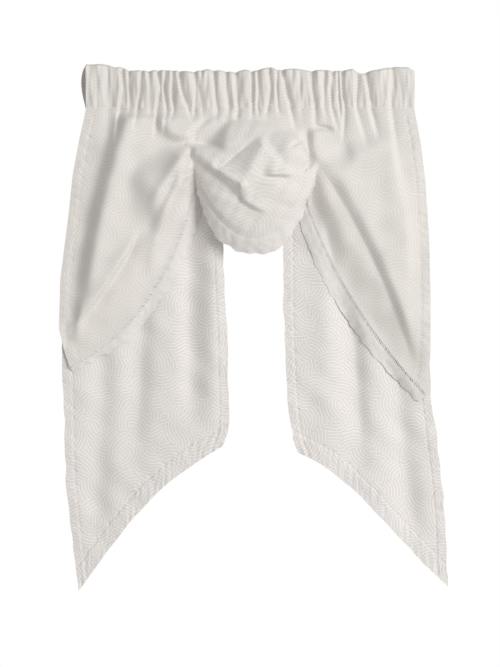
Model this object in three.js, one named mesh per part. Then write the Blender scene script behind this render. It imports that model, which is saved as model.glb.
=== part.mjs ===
// Balloon valance in its hung shape: a gathered rod pocket heading, a front panel drawn up at two points
// into a pouf between two swags, a ladder edging along the panel's hem and two tails hanging behind.
// Millimetres, Z up, the front faces -Y. The origin is the middle of the heading's top edge.
import * as THREE from 'three';

// Driving dimensions
const CLOTH = 2; // thickness of every sheet
const SEWN_GAP = 0.3; // between pieces that are sewn to each other
const POCKET_HEIGHT = 76; // heading, top edge to seam
const POCKET_DEPTH = 32; // heading, front to back, as a rod opens it
const HEADING_LEFT = -287;
const HEADING_RIGHT = 284;
const SEAM_DEPTH = 5; // the panel's top edge lies this far forward of the middle plane
const PANEL_DEPTH = 10; // and the panel hangs this far forward below the seam
const HEM_DEPTH = 0; // the swags fall back to this towards their hem
const HEM_EASE = 100; // over this height above it
const TAIL_DEPTH = -7; // the tails hang behind the middle plane
const PULL_LEFT = -110; // seam position above the left gather
const PULL_RIGHT = 110; // and above the right one
const PINCH = 119; // half width of the pouf between its gathers
const PINCH_TOP = 100; // and of its top on the right
const POUF_SHIFT = 8; // the pouf's foot hangs this far to the right of the middle
const PINCH_Z = -168; // height of both gathers
const POUF_RISE = 74; // top of the pouf above the gathers
const POUF_HEM = 132; // hem of the pouf below the gathers
const POUF_FOOT = 160; // lowest edge of the pouf below the gathers
const POUF_BASE = 8; // depth of the pouf at its gathers
const POUF_DEPTH = 36; // its face stands this much further out
const POUF_ROUND = 8; // and falls back by this towards the gathers
const EDGING_WIDTH = 28;
const RAIL = 2; // edging's upper rail, above the ladder
const LADDER = 8; // height of a ladder gap
const LADDER_PITCH = 7.5; // one bar and one gap along the hem
const LADDER_BAR = 2.4;
const COLUMN_STEP = 10; // widest spacing of a sheet's columns at the seam

const SEAM = -POCKET_HEIGHT;
const OFF_WHITE = '#e4dfd8';
const CLOTH_ROUGHNESS = 0.85;

// A table is a list of rows under named columns
function table(columns, lines) {
  return lines.map((line) => Object.fromEntries(columns.map((column, i) => [column, line[i] ?? 1])));
}

// Gathers of the heading: where a crease stands at the top edge and at the seam, where its lower end
// dies out in the panel, how deep it is, and its half width on either side
const CREASES = table(['top', 'seam', 'low', 'lowZ', 'depth', 'left', 'right'], [
  [-262, -262, -266, -150, 2.5, 9, 9],
  [-229, -233, -236, -125, 9, 5, 9],
  [-213, -215, -220, -96, 5, 4, 5],
  [-190, -197, -200, -110, 8, 4, 6],
  [-163, -162, -160, -125, 9, 5, 7],
  [-147, -146, -148, -120, 6, 4, 5],
  [-129, -127, -138, -98, 8, 5, 5],
  [-113, -112, -118, -96, 5, 4, 4],
  [-97, -98, -100, -96, 7, 4, 5],
  [-80, -78, -78, -100, 5, 5, 5],
  [-62, -60, -62, -105, 6, 6, 5],
  [-43, -42, -46, -98, 5, 5, 5],
  [-22, -21, -24, -100, 7, 6, 6],
  [0, 1, 2, -98, 9, 5, 4],
  [15, 15, 16, -98, 4, 4, 4],
  [32, 30, 26, -96, 6, 5, 5],
  [54, 66, 78, -115, 9, 5, 6],
  [84, 86, 88, -100, 3, 6, 6],
  [107, 112, 113, -105, 9, 6, 4],
  [127, 129, 134, -105, 3, 6, 6],
  [143, 145, 152, -112, 7, 5, 4],
  [160, 161, 164, -128, 9, 4, 5],
  [182, 182, 186, -140, 4, 5, 6],
  [199, 206, 220, -125, 9, 5, 5],
  [245, 247, 250, -150, 3, 5, 7],
]);

// A fold runs from its start through its middle to its end. It rises or sinks by left and right on its two
// sides, seen along its run, over the widths given, and fades over these shares of its length. The widths
// begin at the share start of their full size.
const FOLD_COLUMNS = [
  'x0', 'z0', 'x1', 'z1', 'x2', 'z2', 'left', 'right', 'leftWidth', 'rightWidth', 'fadeIn', 'fadeOut',
  'start',
];
const FOLD_EDGE = 7; // half the width over which a fold's two sides meet

const SWAG_FOLDS = table(FOLD_COLUMNS, [
  // Ridges from the left gather, the crease that runs out between them and the corner
  [-106, -138, -140, -190, -180, -262, 6, 6, 10, 11, 0.1, 0.35],
  [-122, -186, -142, -218, -166, -256, -3, -3, 9, 9, 0.25, 0.4],
  [-112, -186, -150, -268, -180, -381, 8, 8, 11, 14, 0.15, 0.3],
  [-190, -280, -244, -374, -312, -462, -8, 8, 16, 18, 0.25, 0.35],
  [-288, -392, -298, -446, -309, -505, 7, 7, 10, 10, 0.5, 0.3],
  // Side strip of the right swag
  [225, -110, 256, -220, 268, -400, 6, 6, 14, 26, 0.3, 0.3],
  // Tuck right of the right gather: its top crease, its edge over the gather and its face
  [102, -109, 124, -108, 148, -115, -7, -7, 8, 8, 0.4, 0.4],
  [104, -104, 103, -140, 116, -178, 9, -3, 26, 14, 0.2, 0.3],
  [155, -120, 163, -145, 168, -182, -6, -6, 13, 17, 0.4, 0.5],
]);

// A tent rises from a crease along its run, on the run's left, to a rounded crown, and falls again behind it.
// The crown lies near and far from the crease at the run's start and end, and its two ends slant.
const TENT_COLUMNS = [
  'x0', 'z0', 'x1', 'z1', 'x2', 'z2', 'height', 'near', 'far', 'fall', 'fadeIn', 'fadeOut', 'slant',
];
const CREASE_ROUND = 3; // how soft the crease is
const CROWN_ROUND = 0.25; // how soft the crown is, as a share of the height

const SWAG_TENTS = table(TENT_COLUMNS, [
  // Left swag: roll beside the side strip, belly under the tuck, and the rolled tuck itself
  [-229, -62, -281, -256, -318, -480, 30, 22, 22, 40, 0.05, 0.35, 0],
  [-122, -134, -205, -186, -210, -268, 32, 44, 50, 60, 0.15, 0.45, 0],
  [-166, -58, -160, -116, -104, -136, 15, 20, 12, 40, 0.05, 0.2, 0],
  // Right swag above its long crease, and the fold from the right gather along its hem
  [106, -156, 205, -322, 287, -535, 13, 18, 9, 90, 0.15, 0.25, 0],
  [100, -165, 117, -246, 163, -345, 9, 28, 16, 50, 0.25, 0.5, 0],
]);

const POUF_TENTS = table(TENT_COLUMNS, [
  // Upright ridge over the top petal's pocket, and middle petal over the hollow above the bowl's lip
  [22, -120, -16, -147, -56, -182, 19, 11, 60, 34, 0.16, 0.5, 0],
  [-97, -169, -58, -197, -6, -248, 17, 5, 24, 14, 0.45, 0.25, 0.3],
  // Its nose, and its tongue over the smile crease
  [14, -184, -25, -181, -59, -180, 6, 8, 8, 14, 0.5, 0.25, 0],
  [-24, -235, 4, -252, 36, -265, 11, 6, 8, 24, 0.3, 0.6, 0],
  // Right lobe over the soft hollow beside the ridge, upper lobe over the level crease, and the dent under it
  [38, -104, 44, -142, 36, -184, 16, 22, 22, 60, 0.35, 0.5, 0],
  [18, -195, 50, -196, 80, -193, 13, 5, 6, 18, 0.4, 0.35, 0],
  [26, -186, 20, -206, 12, -230, 6, 24, 20, 50, 0.5, 0.5, 0],
  // Left flank of the top petal
  [-45, -162, -44, -130, -30, -90, -50, 42, 40, 900, 0.26, 0.2, -0.12],
]);

const POUF_FOLDS = table(FOLD_COLUMNS, [
  // Creases at the right gather, and the strap from the left gather to the petals
  [94, -125, 81, -135, 66, -146, -5, -5, 7, 7, 0.2, 0.4],
  [110, -164, 98, -176, 84, -190, -7, -7, 7, 8, 0.2, 0.4],
  [-106, -152, -82, -163, -54, -180, 7, 7, 9, 9, 0.15, 0.3],
  // Soft dents of the bowl
  [-100, -180, -70, -240, -40, -296, -3, -3, 14, 18, 0.3, 0.3, 0.4],
  [108, -176, 74, -230, 40, -290, -3, -3, 14, 18, 0.3, 0.4, 0.4],
]);

const TAIL_FOLDS = table(FOLD_COLUMNS, [
  [-104, -200, -106, -440, -100, -640, -11, -11, 24, 18, 0.15, 0.25],
  [-176, -90, -192, -450, -206, -740, -10, -10, 20, 26, 0.05, 0.25],
  [-262, -300, -262, -620, -276, -860, -7, -7, 22, 22, 0.3, 0.2],
  [-62, -100, -66, -420, -66, -660, 5, 5, 18, 20, 0.1, 0.2],
  [126, -100, 132, -420, 134, -690, 4, 4, 26, 24, 0.1, 0.2],
  [150, -90, 178, -480, 196, -740, -12, -12, 17, 26, 0.05, 0.25],
  [238, -90, 256, -560, 290, -860, -9, -9, 20, 24, 0.05, 0.15],
]);

// Broad swells of the swags and beside the gathers: middle, reach, height and tilt
const SWELLS = table(['x', 'z', 'reachX', 'reachZ', 'height', 'tilt'], [
  [-190, -260, 70, 130, 6, -8],
  [215, -200, 80, 120, 5, 8],
  [-116, -180, 24, 40, 13, 0],
  [120, -190, 24, 40, 5, 0],
]);

// Side edges of each tail, and its slanted foot, which bows most towards its inner corner as lean grows
const TAILS = [
  {
    name: 'tail_left',
    outer: [
      [-283, SEAM], [-300, -200], [-329, -450], [-330, -500],
      [-327, -560], [-323, -720], [-310, -840], [-300, -914],
    ],
    inner: [[-56, SEAM], [-48, -330], [-41, -480], [-38, -600], [-41, -640], [-50, -664]],
    tip: -914,
    corner: -662,
    bow: 24,
    lean: 1.2,
  },
  {
    name: 'tail_right',
    outer: [[280, SEAM], [298, -200], [307, -407], [313, -570], [332, -720], [338, -790], [343, -906]],
    inner: [[57, SEAM], [57, -430], [61, -540], [66, -600], [72, -650], [84, -676]],
    tip: -906,
    corner: -674,
    bow: 24,
    lean: 1.6,
  },
];

const clamp = THREE.MathUtils.clamp;
const lerp = THREE.MathUtils.lerp;
const smooth = (share) => THREE.MathUtils.smoothstep(share, 0, 1);

// The higher of two depths, with a rounded valley where they meet
function blendHigher(a, b, radius) {
  return Math.max(a, b) + radius * Math.log1p(Math.exp(-Math.abs(a - b) / radius));
}

// Where a point of the front view lies beside a bowed run: how far to its left, and at which share of it,
// counted between ends that may slant
function besideRun(row, x, z, slant = 0) {
  const runX = row.x2 - row.x0;
  const runZ = row.z2 - row.z0;
  const length = Math.hypot(runX, runZ);
  const placed = (px, pz) => ({
    share: ((px - row.x0) * runX + (pz - row.z0) * runZ) / length ** 2,
    left: (runX * (pz - row.z0) - runZ * (px - row.x0)) / length,
  });
  const middle = placed(row.x1, row.z1);
  const bow = middle.left / (middle.share * (1 - middle.share));
  const { share, left } = placed(x, z);
  const within = clamp(share, 0, 1);
  const turn = Math.hypot(1, (bow * (1 - 2 * within)) / length);
  const side = (left - bow * within * (1 - within)) / turn;
  return { side, along: clamp(share + (slant * side) / length, 0, 1) };
}

function fadeOf(row, along) {
  return smooth(clamp(along / row.fadeIn, 0, 1) * clamp((1 - along) / row.fadeOut, 0, 1));
}

// Depth that a fold adds at a point of the front view
function foldDepth(fold, x, z) {
  const { side, along } = besideRun(fold, x, z);
  const onLeft = 0.5 + 0.5 * Math.tanh(side / FOLD_EDGE);
  const spread = lerp(fold.start, 1, along);
  const left = fold.left * Math.exp(-((side / (fold.leftWidth * spread)) ** 2));
  const right = fold.right * Math.exp(-((side / (fold.rightWidth * spread)) ** 2));
  return (left * onLeft + right * (1 - onLeft)) * fadeOf(fold, along);
}

// Depth that a tent adds
function tentDepth(tent, x, z) {
  const { side, along } = besideRun(tent, x, z, tent.slant);
  const reach = lerp(tent.near, tent.far, along);
  const away = blendHigher(side, 0, CREASE_ROUND);
  const fall = Math.exp(Math.min((reach - away) / tent.fall, 1));
  const height = -blendHigher(-away / reach, -fall, CROWN_ROUND);
  return tent.height * Math.max(height, 0) * fadeOf(tent, along);
}

function tentsDepth(tents, x, z) {
  return tents.reduce((sum, tent) => sum + tentDepth(tent, x, z), 0);
}

function foldsDepth(folds, x, z) {
  return folds.reduce((sum, fold) => sum + foldDepth(fold, x, z), 0);
}

// Gathers of the heading, which run on below the seam, widen and die out
const SEWN_SHARE = 0.6; // of a crease's depth where the seam holds it
const LOOSE_SHARE = 0.8; // and a little below the seam
const HOLD_HEIGHT = 16; // the seam's hold ends this far above and below it
const CREASE_WIDEN = 0.6; // a crease grows wider by this share at its lower end
const CREASE_END = 1.15; // and ends at this share of its length below the seam
const CREASE_LIMIT = -9; // depth of the deepest crease
function gatherDepth(x, z) {
  const held = lerp(SEWN_SHARE, z > SEAM ? 1 : LOOSE_SHARE, smooth(Math.abs(z - SEAM) / HOLD_HEIGHT));
  let depth = 0;
  for (const crease of CREASES) {
    const below = (SEAM - z) / (SEAM - crease.lowZ);
    const inPanel = below > 0;
    const at = inPanel
      ? lerp(crease.seam, crease.low, clamp(below, 0, 2))
      : lerp(crease.top, crease.seam, z / SEAM);
    const widen = 1 + CREASE_WIDEN * clamp(below, 0, 1);
    const fade = inPanel ? clamp(CREASE_END - below, 0, 1) : 1;
    const width = (x < at ? crease.left : crease.right) * widen;
    depth -= crease.depth * Math.exp(-(((x - at) / width) ** 2)) * fade;
  }
  return Math.max(depth, CREASE_LIMIT) * held;
}

function swellDepth(x, z) {
  let depth = 0;
  for (const swell of SWELLS) {
    const turn = THREE.MathUtils.degToRad(swell.tilt);
    const u = (x - swell.x) * Math.cos(turn) + (z - swell.z) * Math.sin(turn);
    const v = (z - swell.z) * Math.cos(turn) - (x - swell.x) * Math.sin(turn);
    depth += swell.height * Math.exp(-((u / swell.reachX) ** 2) - (v / swell.reachZ) ** 2);
  }
  return depth;
}

// Depth of the swags: seam, swells, gathers and folds, nowhere closer to the tails than these distances.
// Each begins below the seam over its own height.
const SEWN_CLEAR = CLOTH + 2 * SEWN_GAP;
const TAIL_CLEAR = 7;
const HANG_EASE = 60;
const FOLD_EASE = 20;
const CLEAR_EASE = 30;
const POUF_EASE = 12;
function swagDepth(x, z) {
  const hang = smooth((SEAM - z) / HANG_EASE);
  const plain = lerp(SEAM_DEPTH, PANEL_DEPTH, hang) + swellDepth(x, z) * hang;
  const back = (plain - HEM_DEPTH) * smooth(1 - (z - hemHeight(x)) / HEM_EASE) * hang;
  const relief = foldsDepth(SWAG_FOLDS, x, z) + tentsDepth(SWAG_TENTS, x, z);
  const folded = plain - back + gatherDepth(x, z) + relief * smooth((SEAM - z) / FOLD_EASE);
  const clear = lerp(SEWN_CLEAR, TAIL_CLEAR, smooth((SEAM - z) / CLEAR_EASE));
  return blendHigher(folded, tailDepth(x, z) + clear, 1);
}

// Lower edge of the pouf at a given drop below its gathers
const FOOT_POWER = 0.75; // the lower, the fuller the foot's round
function poufEdge(x, drop) {
  const across = (x - POUF_SHIFT) / (PINCH - POUF_SHIFT);
  return PINCH_Z - drop * clamp(1 - across ** 2, 0, 1) ** FOOT_POWER;
}

// Depth of the pouf: a flat-faced pillow pinched at both gathers, with its folds
const SHOULDER_LEFT = 2.6; // squareness of its left shoulder
const SHOULDER_RIGHT = 2; // and of its round right one
const TOP_FACE = { flat: 4, steep: 0.9 }; // how flat its face is above its middle, and how its edge falls off
const FOOT_FACE = { flat: 5, steep: 0.5 }; // and below
const PINCH_FACE = { flat: 5, steep: 0.9 }; // and towards its gathers
const PINCHED_RELIEF = 0.35; // share of its folds left at the gathers
const LEAST_HEIGHT = 8; // of the pouf at its gathers
const EDGE_DROP = 40; // it drops behind the swags by this beyond its outline, per half height
const END_DROP = 2; // and by this per millimetre beyond its gathers
const END_REACH = 60;
function poufDepth(x, z) {
  const square = x < 0 ? SHOULDER_LEFT : SHOULDER_RIGHT;
  const wide = Math.abs(x) / (x < 0 ? PINCH : PINCH_TOP);
  const top = PINCH_Z + POUF_RISE * clamp(1 - wide ** square, 0, 1) ** (1 / square);
  const foot = poufEdge(x, POUF_FOOT);
  const level = (2 * z - top - foot) / Math.max(top - foot, LEAST_HEIGHT);
  const off = Math.abs(level);
  const pillow = ({ flat, steep }, share) => clamp(1 - share ** flat, 0, 1) ** steep;
  const pinch = pillow(PINCH_FACE, Math.abs(x / PINCH));
  const face = pillow(level > 0 ? TOP_FACE : FOOT_FACE, off);
  const out = (POUF_DEPTH - POUF_ROUND * (x / PINCH) ** 2) * pinch * face;
  const drop = EDGE_DROP * clamp(off - 1, 0, 2) + END_DROP * clamp(Math.abs(x) - PINCH, 0, END_REACH);
  const relief = foldsDepth(POUF_FOLDS, x, z) + tentsDepth(POUF_TENTS, x, z);
  return POUF_BASE + out - drop + relief * lerp(PINCHED_RELIEF, 1, pinch);
}

const VALLEY_ROUND = 3; // where the pouf stands out of the panel
function frontDepth(x, z) {
  const share = smooth((SEAM - z) / POUF_EASE);
  const swag = swagDepth(x, z);
  return lerp(swag, blendHigher(swag, poufDepth(x, z), VALLEY_ROUND), share);
}

function tailDepth(x, z) {
  const behind = SEAM_DEPTH - CLOTH - 2 * SEWN_GAP;
  const hang = smooth((SEAM - z) / HANG_EASE);
  const gathered = behind + gatherDepth(x, z) * (1 - hang);
  return lerp(gathered, TAIL_DEPTH + foldsDepth(TAIL_FOLDS, x, z), hang);
}

// Half the thickness of a sheet along Y, greater where it slopes
const STEP = 1;
const SLOPE_LIMIT = 2; // at most this many times greater
const SLOPE_EASE = 50; // and less so under the seam, where two sheets are sewn close together
function halfThickness(depth, x, z) {
  const slopeX = (depth(x + STEP, z) - depth(x - STEP, z)) / (2 * STEP);
  const slopeZ = (depth(x, z + STEP) - depth(x, z - STEP)) / (2 * STEP);
  const full = Math.min(Math.hypot(1, slopeX, slopeZ), SLOPE_LIMIT);
  return (CLOTH / 2) * lerp(1, full, smooth((SEAM - z) / SLOPE_EASE));
}

function clothMesh(name, positions, triangles) {
  const geometry = new THREE.BufferGeometry();
  geometry.setAttribute('position', new THREE.Float32BufferAttribute(positions, 3));
  geometry.setIndex(triangles);
  geometry.computeVertexNormals();
  const material = new THREE.MeshStandardMaterial({
    color: OFF_WHITE,
    roughness: CLOTH_ROUGHNESS,
    metalness: 0,
  });
  const mesh = new THREE.Mesh(geometry, material);
  mesh.name = name;
  return mesh;
}

// A sheet of cloth over a grid: place(i, j) gives a point's x, z, depth and half thickness, columns run to
// the right and rows away from the seam, and open(i, j) tells which cells are gaps
function sheetMesh(name, columns, rows, place, open = () => false) {
  const front = [];
  const back = [];
  for (let j = 0; j <= rows; j += 1) {
    for (let i = 0; i <= columns; i += 1) {
      const point = place(i, j);
      front.push(point.x, -point.depth - point.half, point.z);
      back.push(point.x, -point.depth + point.half, point.z);
    }
  }
  const count = (columns + 1) * (rows + 1);
  const index = (i, j) => j * (columns + 1) + i;
  const faces = [];
  for (let j = 0; j < rows; j += 1) {
    for (let i = 0; i < columns; i += 1) {
      if (open(i, j)) continue;
      const [a, b, c, d] = [index(i, j), index(i + 1, j), index(i, j + 1), index(i + 1, j + 1)];
      faces.push([a, c, b], [b, c, d]);
    }
  }
  const sides = new Set();
  faces.forEach(([a, b, c]) => [[a, b], [b, c], [c, a]].forEach(([p, q]) => sides.add(`${p},${q}`)));
  const triangles = [];
  for (const [a, b, c] of faces) {
    triangles.push(a, b, c, a + count, c + count, b + count);
    for (const [p, q] of [[a, b], [b, c], [c, a]]) {
      if (sides.has(`${q},${p}`)) continue;
      triangles.push(q, p, p + count, q, p + count, q + count);
    }
  }
  const used = [...new Set(triangles)].sort((p, q) => p - q);
  const place3 = [...front, ...back];
  const renumber = new Map(used.map((old, i) => [old, i]));
  const positions = used.flatMap((old) => place3.slice(3 * old, 3 * old + 3));
  return clothMesh(name, positions, triangles.map((old) => renumber.get(old)));
}

// Columns at the seam: one on every crease, and even steps between
function seamColumns(left, right) {
  const marks = CREASES.map((crease) => crease.seam).filter((x) => x > left + 2 && x < right - 2);
  const stops = [left, ...marks, right];
  const columns = [left];
  for (let i = 1; i < stops.length; i += 1) {
    const parts = Math.max(1, Math.round((stops[i] - stops[i - 1]) / COLUMN_STEP));
    for (let k = 1; k <= parts; k += 1) {
      columns.push(lerp(stops[i - 1], stops[i], k / parts));
    }
  }
  return columns;
}

// Rod pocket heading: a gathered sleeve, open at both ends and sewn shut at its foot
const SLEEVE_POINTS = 12;
const TOP_SAG = 6.5; // the top edge hangs lower between its ends
const TOP_LEVEL = 6; // the higher, the more level the edge between them
const TOP_NOTCH = 0.25; // share of a crease's depth that notches the top edge
const NOTCH_Z = -20; // height at which that depth is taken
const BACK_BULGE = 9; // the back layer stands out at the left end
const BULGE_REACH = 16; // as far as this along the heading
const BULGE_HIGH = 0.7; // and most above half height
const LEAN_REACH = 12; // cloth beside a crease leans with it as far as this
const LEAN_REST = 0.4; // weight of the upright cloth between creases
const SLEEVE_FULL = 1.15; // the sleeve is fuller than an oval at its top
const SLEEVE_TAPER = 0.35; // and slimmer towards its foot
const SLEEVE_LEAST = 0.35; // its inside keeps this share of its depth
const FOOT_FORWARD = 4; // its foot lies this far forward
const TOP_ROUND = 0.15; // creases begin over this share of the height
const BACK_CREASE = 0.35; // share of the creases in the back layer
const BACK_STAGGER = 9; // which stand this far to the left
function topEdge(x) {
  const sag = TOP_SAG * (1 - Math.abs(x / HEADING_LEFT) ** TOP_LEVEL);
  return -Math.max(sag, 0) + TOP_NOTCH * gatherDepth(x, NOTCH_Z);
}

function sleevePoint(column, k, inset) {
  const angle = (2 * Math.PI * k) / SLEEVE_POINTS;
  const share = (1 - Math.cos(angle)) / 2;
  const atFoot = k === SLEEVE_POINTS / 2;
  const onBack = k > SLEEVE_POINTS / 2;
  const lean = CREASES.reduce((sum, crease) => {
    const near = Math.exp(-(((column - crease.seam) / LEAN_REACH) ** 2));
    return { shift: sum.shift + near * (crease.top - crease.seam), near: sum.near + near };
  }, { shift: 0, near: LEAN_REST });
  const edge = topEdge(column + lean.shift / lean.near);
  const z = lerp(edge - inset, SEAM + inset, share);
  const x = column + (lean.shift / lean.near) * (1 - share);
  const round = 2 * Math.sqrt(share * (1 - share)) * (SLEEVE_FULL - SLEEVE_TAPER * share);
  const half = (POCKET_DEPTH / 2) * round;
  const reach = Math.max(half - inset, SLEEVE_LEAST * half);
  const held = smooth(share / TOP_ROUND);
  const middle = -FOOT_FORWARD * share - (atFoot ? gatherDepth(x, SEAM) : 0);
  if (onBack) {
    const nearEnd = Math.exp(-(((column - HEADING_LEFT) / BULGE_REACH) ** 2));
    const bulge = BACK_BULGE * nearEnd * Math.sin(Math.PI * share ** BULGE_HIGH);
    return [x - bulge, middle + reach + BACK_CREASE * gatherDepth(x + BACK_STAGGER, z) * held, z];
  }
  return [x, middle - reach - (atFoot ? 0 : gatherDepth(x, z) * held), z];
}

function headingMesh() {
  const columns = seamColumns(HEADING_LEFT, HEADING_RIGHT);
  const last = columns.length - 1;
  const positions = [];
  for (const inset of [0, CLOTH]) {
    for (const column of columns) {
      for (let k = 0; k < SLEEVE_POINTS; k += 1) {
        positions.push(...sleevePoint(column, k, inset));
      }
    }
  }
  const count = columns.length * SLEEVE_POINTS;
  const index = (i, k) => i * SLEEVE_POINTS + (k % SLEEVE_POINTS);
  const triangles = [];
  for (let k = 0; k < SLEEVE_POINTS; k += 1) {
    for (let i = 0; i < last; i += 1) {
      const [a, b, c, d] = [index(i, k), index(i + 1, k), index(i, k + 1), index(i + 1, k + 1)];
      triangles.push(a, c, b, b, c, d);
      triangles.push(a + count, b + count, c + count, b + count, d + count, c + count);
    }
    const [a, c] = [index(0, k), index(0, k + 1)];
    triangles.push(c, a, a + count, c, a + count, c + count);
    const [b, d] = [index(last, k), index(last, k + 1)];
    triangles.push(b, d, d + count, b, d + count, b + count);
  }
  return clothMesh('heading', positions, triangles);
}

// Hem of the front panel: a bowed slant up to each gather and the pouf's round foot between them
const LEFT_CORNER = [-316, -524];
const LEFT_BEND = [-151, -430];
const LEFT_GATHER_X = -97;
const RIGHT_CORNER = [306, -572];
const RIGHT_BEND = [154, -404];
const RIGHT_GATHER_X = 96;
const leftHem = new THREE.QuadraticBezierCurve(
  new THREE.Vector2(...LEFT_CORNER),
  new THREE.Vector2(...LEFT_BEND),
  new THREE.Vector2(LEFT_GATHER_X, poufEdge(LEFT_GATHER_X, POUF_HEM)),
);
const rightHem = new THREE.QuadraticBezierCurve(
  new THREE.Vector2(RIGHT_GATHER_X, poufEdge(RIGHT_GATHER_X, POUF_HEM)),
  new THREE.Vector2(...RIGHT_BEND),
  new THREE.Vector2(...RIGHT_CORNER),
);

function hemHeight(x) {
  const { v0, v1, v2 } = x < 0 ? leftHem : rightHem;
  const within = clamp(x, Math.min(v0.x, v2.x), Math.max(v0.x, v2.x));
  const bend = v0.x - 2 * v1.x + v2.x;
  const reach = v1.x - v0.x;
  const share = (Math.sqrt(reach ** 2 - bend * (v0.x - within)) - reach) / bend;
  return lerp(lerp(v0.y, v1.y, share), lerp(v1.y, v2.y, share), share);
}

function poufHem(share) {
  const x = lerp(LEFT_GATHER_X, RIGHT_GATHER_X, share);
  return new THREE.Vector2(x, poufEdge(x, POUF_HEM));
}

function hemBelow(column) {
  if (column <= PULL_LEFT) {
    return leftHem.getPoint((column - HEADING_LEFT) / (PULL_LEFT - HEADING_LEFT));
  }
  if (column < PULL_RIGHT) {
    return poufHem((column - PULL_LEFT) / (PULL_RIGHT - PULL_LEFT));
  }
  return rightHem.getPoint((column - PULL_RIGHT) / (HEADING_RIGHT - PULL_RIGHT));
}

// Front panel: swags and pouf in one cloth, from the seam to the hem
const PANEL_ROWS = 23;
// Outward bow of the panel's two side edges at shares of their drop
const SIDE_BOWS = table(['down', 'left', 'right'], [
  [0, 0, 0],
  [0.12, 8, 8],
  [0.25, 15, 13],
  [0.45, 19, 15],
  [0.65, 25, 13],
  [0.85, 22, 9],
  [1, 0, 0],
]);
function sideBow(side, down) {
  const next = Math.max(1, SIDE_BOWS.findIndex((row) => row.down >= down));
  const [a, b] = [SIDE_BOWS[next - 1], SIDE_BOWS[next]];
  return lerp(a[side], b[side], (down - a.down) / (b.down - a.down));
}

function panelMesh() {
  const columns = seamColumns(HEADING_LEFT, HEADING_RIGHT);
  const place = (i, j) => {
    const hem = hemBelow(columns[i]);
    const down = j / PANEL_ROWS;
    const nearLeft = clamp((PULL_LEFT - columns[i]) / (PULL_LEFT - HEADING_LEFT), 0, 1) ** 2;
    const nearRight = clamp((columns[i] - PULL_RIGHT) / (HEADING_RIGHT - PULL_RIGHT), 0, 1) ** 2;
    const swing = sideBow('right', down) * nearRight - sideBow('left', down) * nearLeft;
    const x = lerp(columns[i], hem.x, down) + swing;
    const z = lerp(SEAM - SEWN_GAP, hem.y, down);
    return { x, z, depth: frontDepth(x, z), half: halfThickness(frontDepth, x, z) };
  };
  return sheetMesh('balloon_panel', columns.length - 1, PANEL_ROWS, place);
}

// Edging along one stretch of hem: upper rail, ladder of bars and gaps, plain band below
const BAND_ROWS = [SEWN_GAP, RAIL, RAIL + LADDER, EDGING_WIDTH];
const LADDER_ROW = 1;
const HEM_STEP = 0.004; // share of a hem over which its direction is taken
function edgingMesh(name, hemAt, depthAt, from, to, openFrom, openTo) {
  const length = hemLength(hemAt, from, to);
  const pitches = Math.round(length / LADDER_PITCH);
  const barShare = LADDER_BAR / LADDER_PITCH;
  const columns = 2 * pitches;
  const shareOf = (i) => lerp(from, to, (Math.floor(i / 2) + (i % 2) * barShare) / pitches);
  const place = (i, j) => {
    const share = shareOf(i);
    const hem = hemAt(share);
    const ahead = hemAt(Math.min(share + HEM_STEP, 1));
    const behind = hemAt(Math.max(share - HEM_STEP, 0));
    const run = ahead.sub(behind).normalize();
    const across = BAND_ROWS[j];
    const x = hem.x + run.y * across;
    const z = hem.y - run.x * across;
    const depth = depthAt(hem, x, z, across);
    return { x, z, depth, half: CLOTH / 2 };
  };
  const open = (i, j) => {
    const share = shareOf(i);
    return j === LADDER_ROW && i % 2 === 1 && share > openFrom && share < openTo && i < columns - 1;
  };
  return sheetMesh(name, columns, BAND_ROWS.length - 1, place, open);
}

const HEM_PARTS = 60;
function hemLength(hemAt, from, to) {
  let length = 0;
  for (let k = 0; k < HEM_PARTS; k += 1) {
    const a = hemAt(lerp(from, to, k / HEM_PARTS));
    const b = hemAt(lerp(from, to, (k + 1) / HEM_PARTS));
    length += a.distanceTo(b);
  }
  return length;
}

// The slanted lengths hang on from the panel's hem, and the pouf's length curls in under its round foot
const HANG_BACK = 1.5;
const CURL_BACK = 18;
const CURL_POWER = 1.3;
const EDGING_CLEAR = 5; // the slanted lengths stay this far forward of the tails
function slantDepth(hem, x, z, across) {
  const hanging = frontDepth(hem.x, hem.y) - (HANG_BACK * across) / EDGING_WIDTH;
  return Math.max(hanging, tailDepth(x, z) + EDGING_CLEAR);
}

function curlDepth(hem, x, z, across) {
  return frontDepth(hem.x, hem.y) - CURL_BACK * (across / EDGING_WIDTH) ** CURL_POWER;
}

function edgingMeshes() {
  const left = (share) => leftHem.getPoint(share);
  const right = (share) => rightHem.getPoint(share);
  return [
    edgingMesh('ladder_edging_left', left, slantDepth, 0, 0.86, 0.03, 0.84),
    edgingMesh('ladder_edging_pouf', poufHem, curlDepth, 0.14, 0.88, 0.3, 0.7),
    edgingMesh('ladder_edging_right', right, slantDepth, 0.08, 1, 0.1, 0.97),
  ];
}

// Tails: each hangs from the seam behind the panel to a slanted foot
const TAIL_ROWS = 15;
const ROW_SPREAD = 1.6; // rows stand closer under the seam, where the gathers die out
function edgeAt(edge, z) {
  const next = edge.findIndex(([, edgeZ]) => edgeZ <= z);
  if (next === 0) return edge[0][0];
  if (next < 0) return edge[edge.length - 1][0];
  const [[x0, z0], [x1, z1]] = [edge[next - 1], edge[next]];
  return lerp(x0, x1, (z - z0) / (z1 - z0));
}

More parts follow.
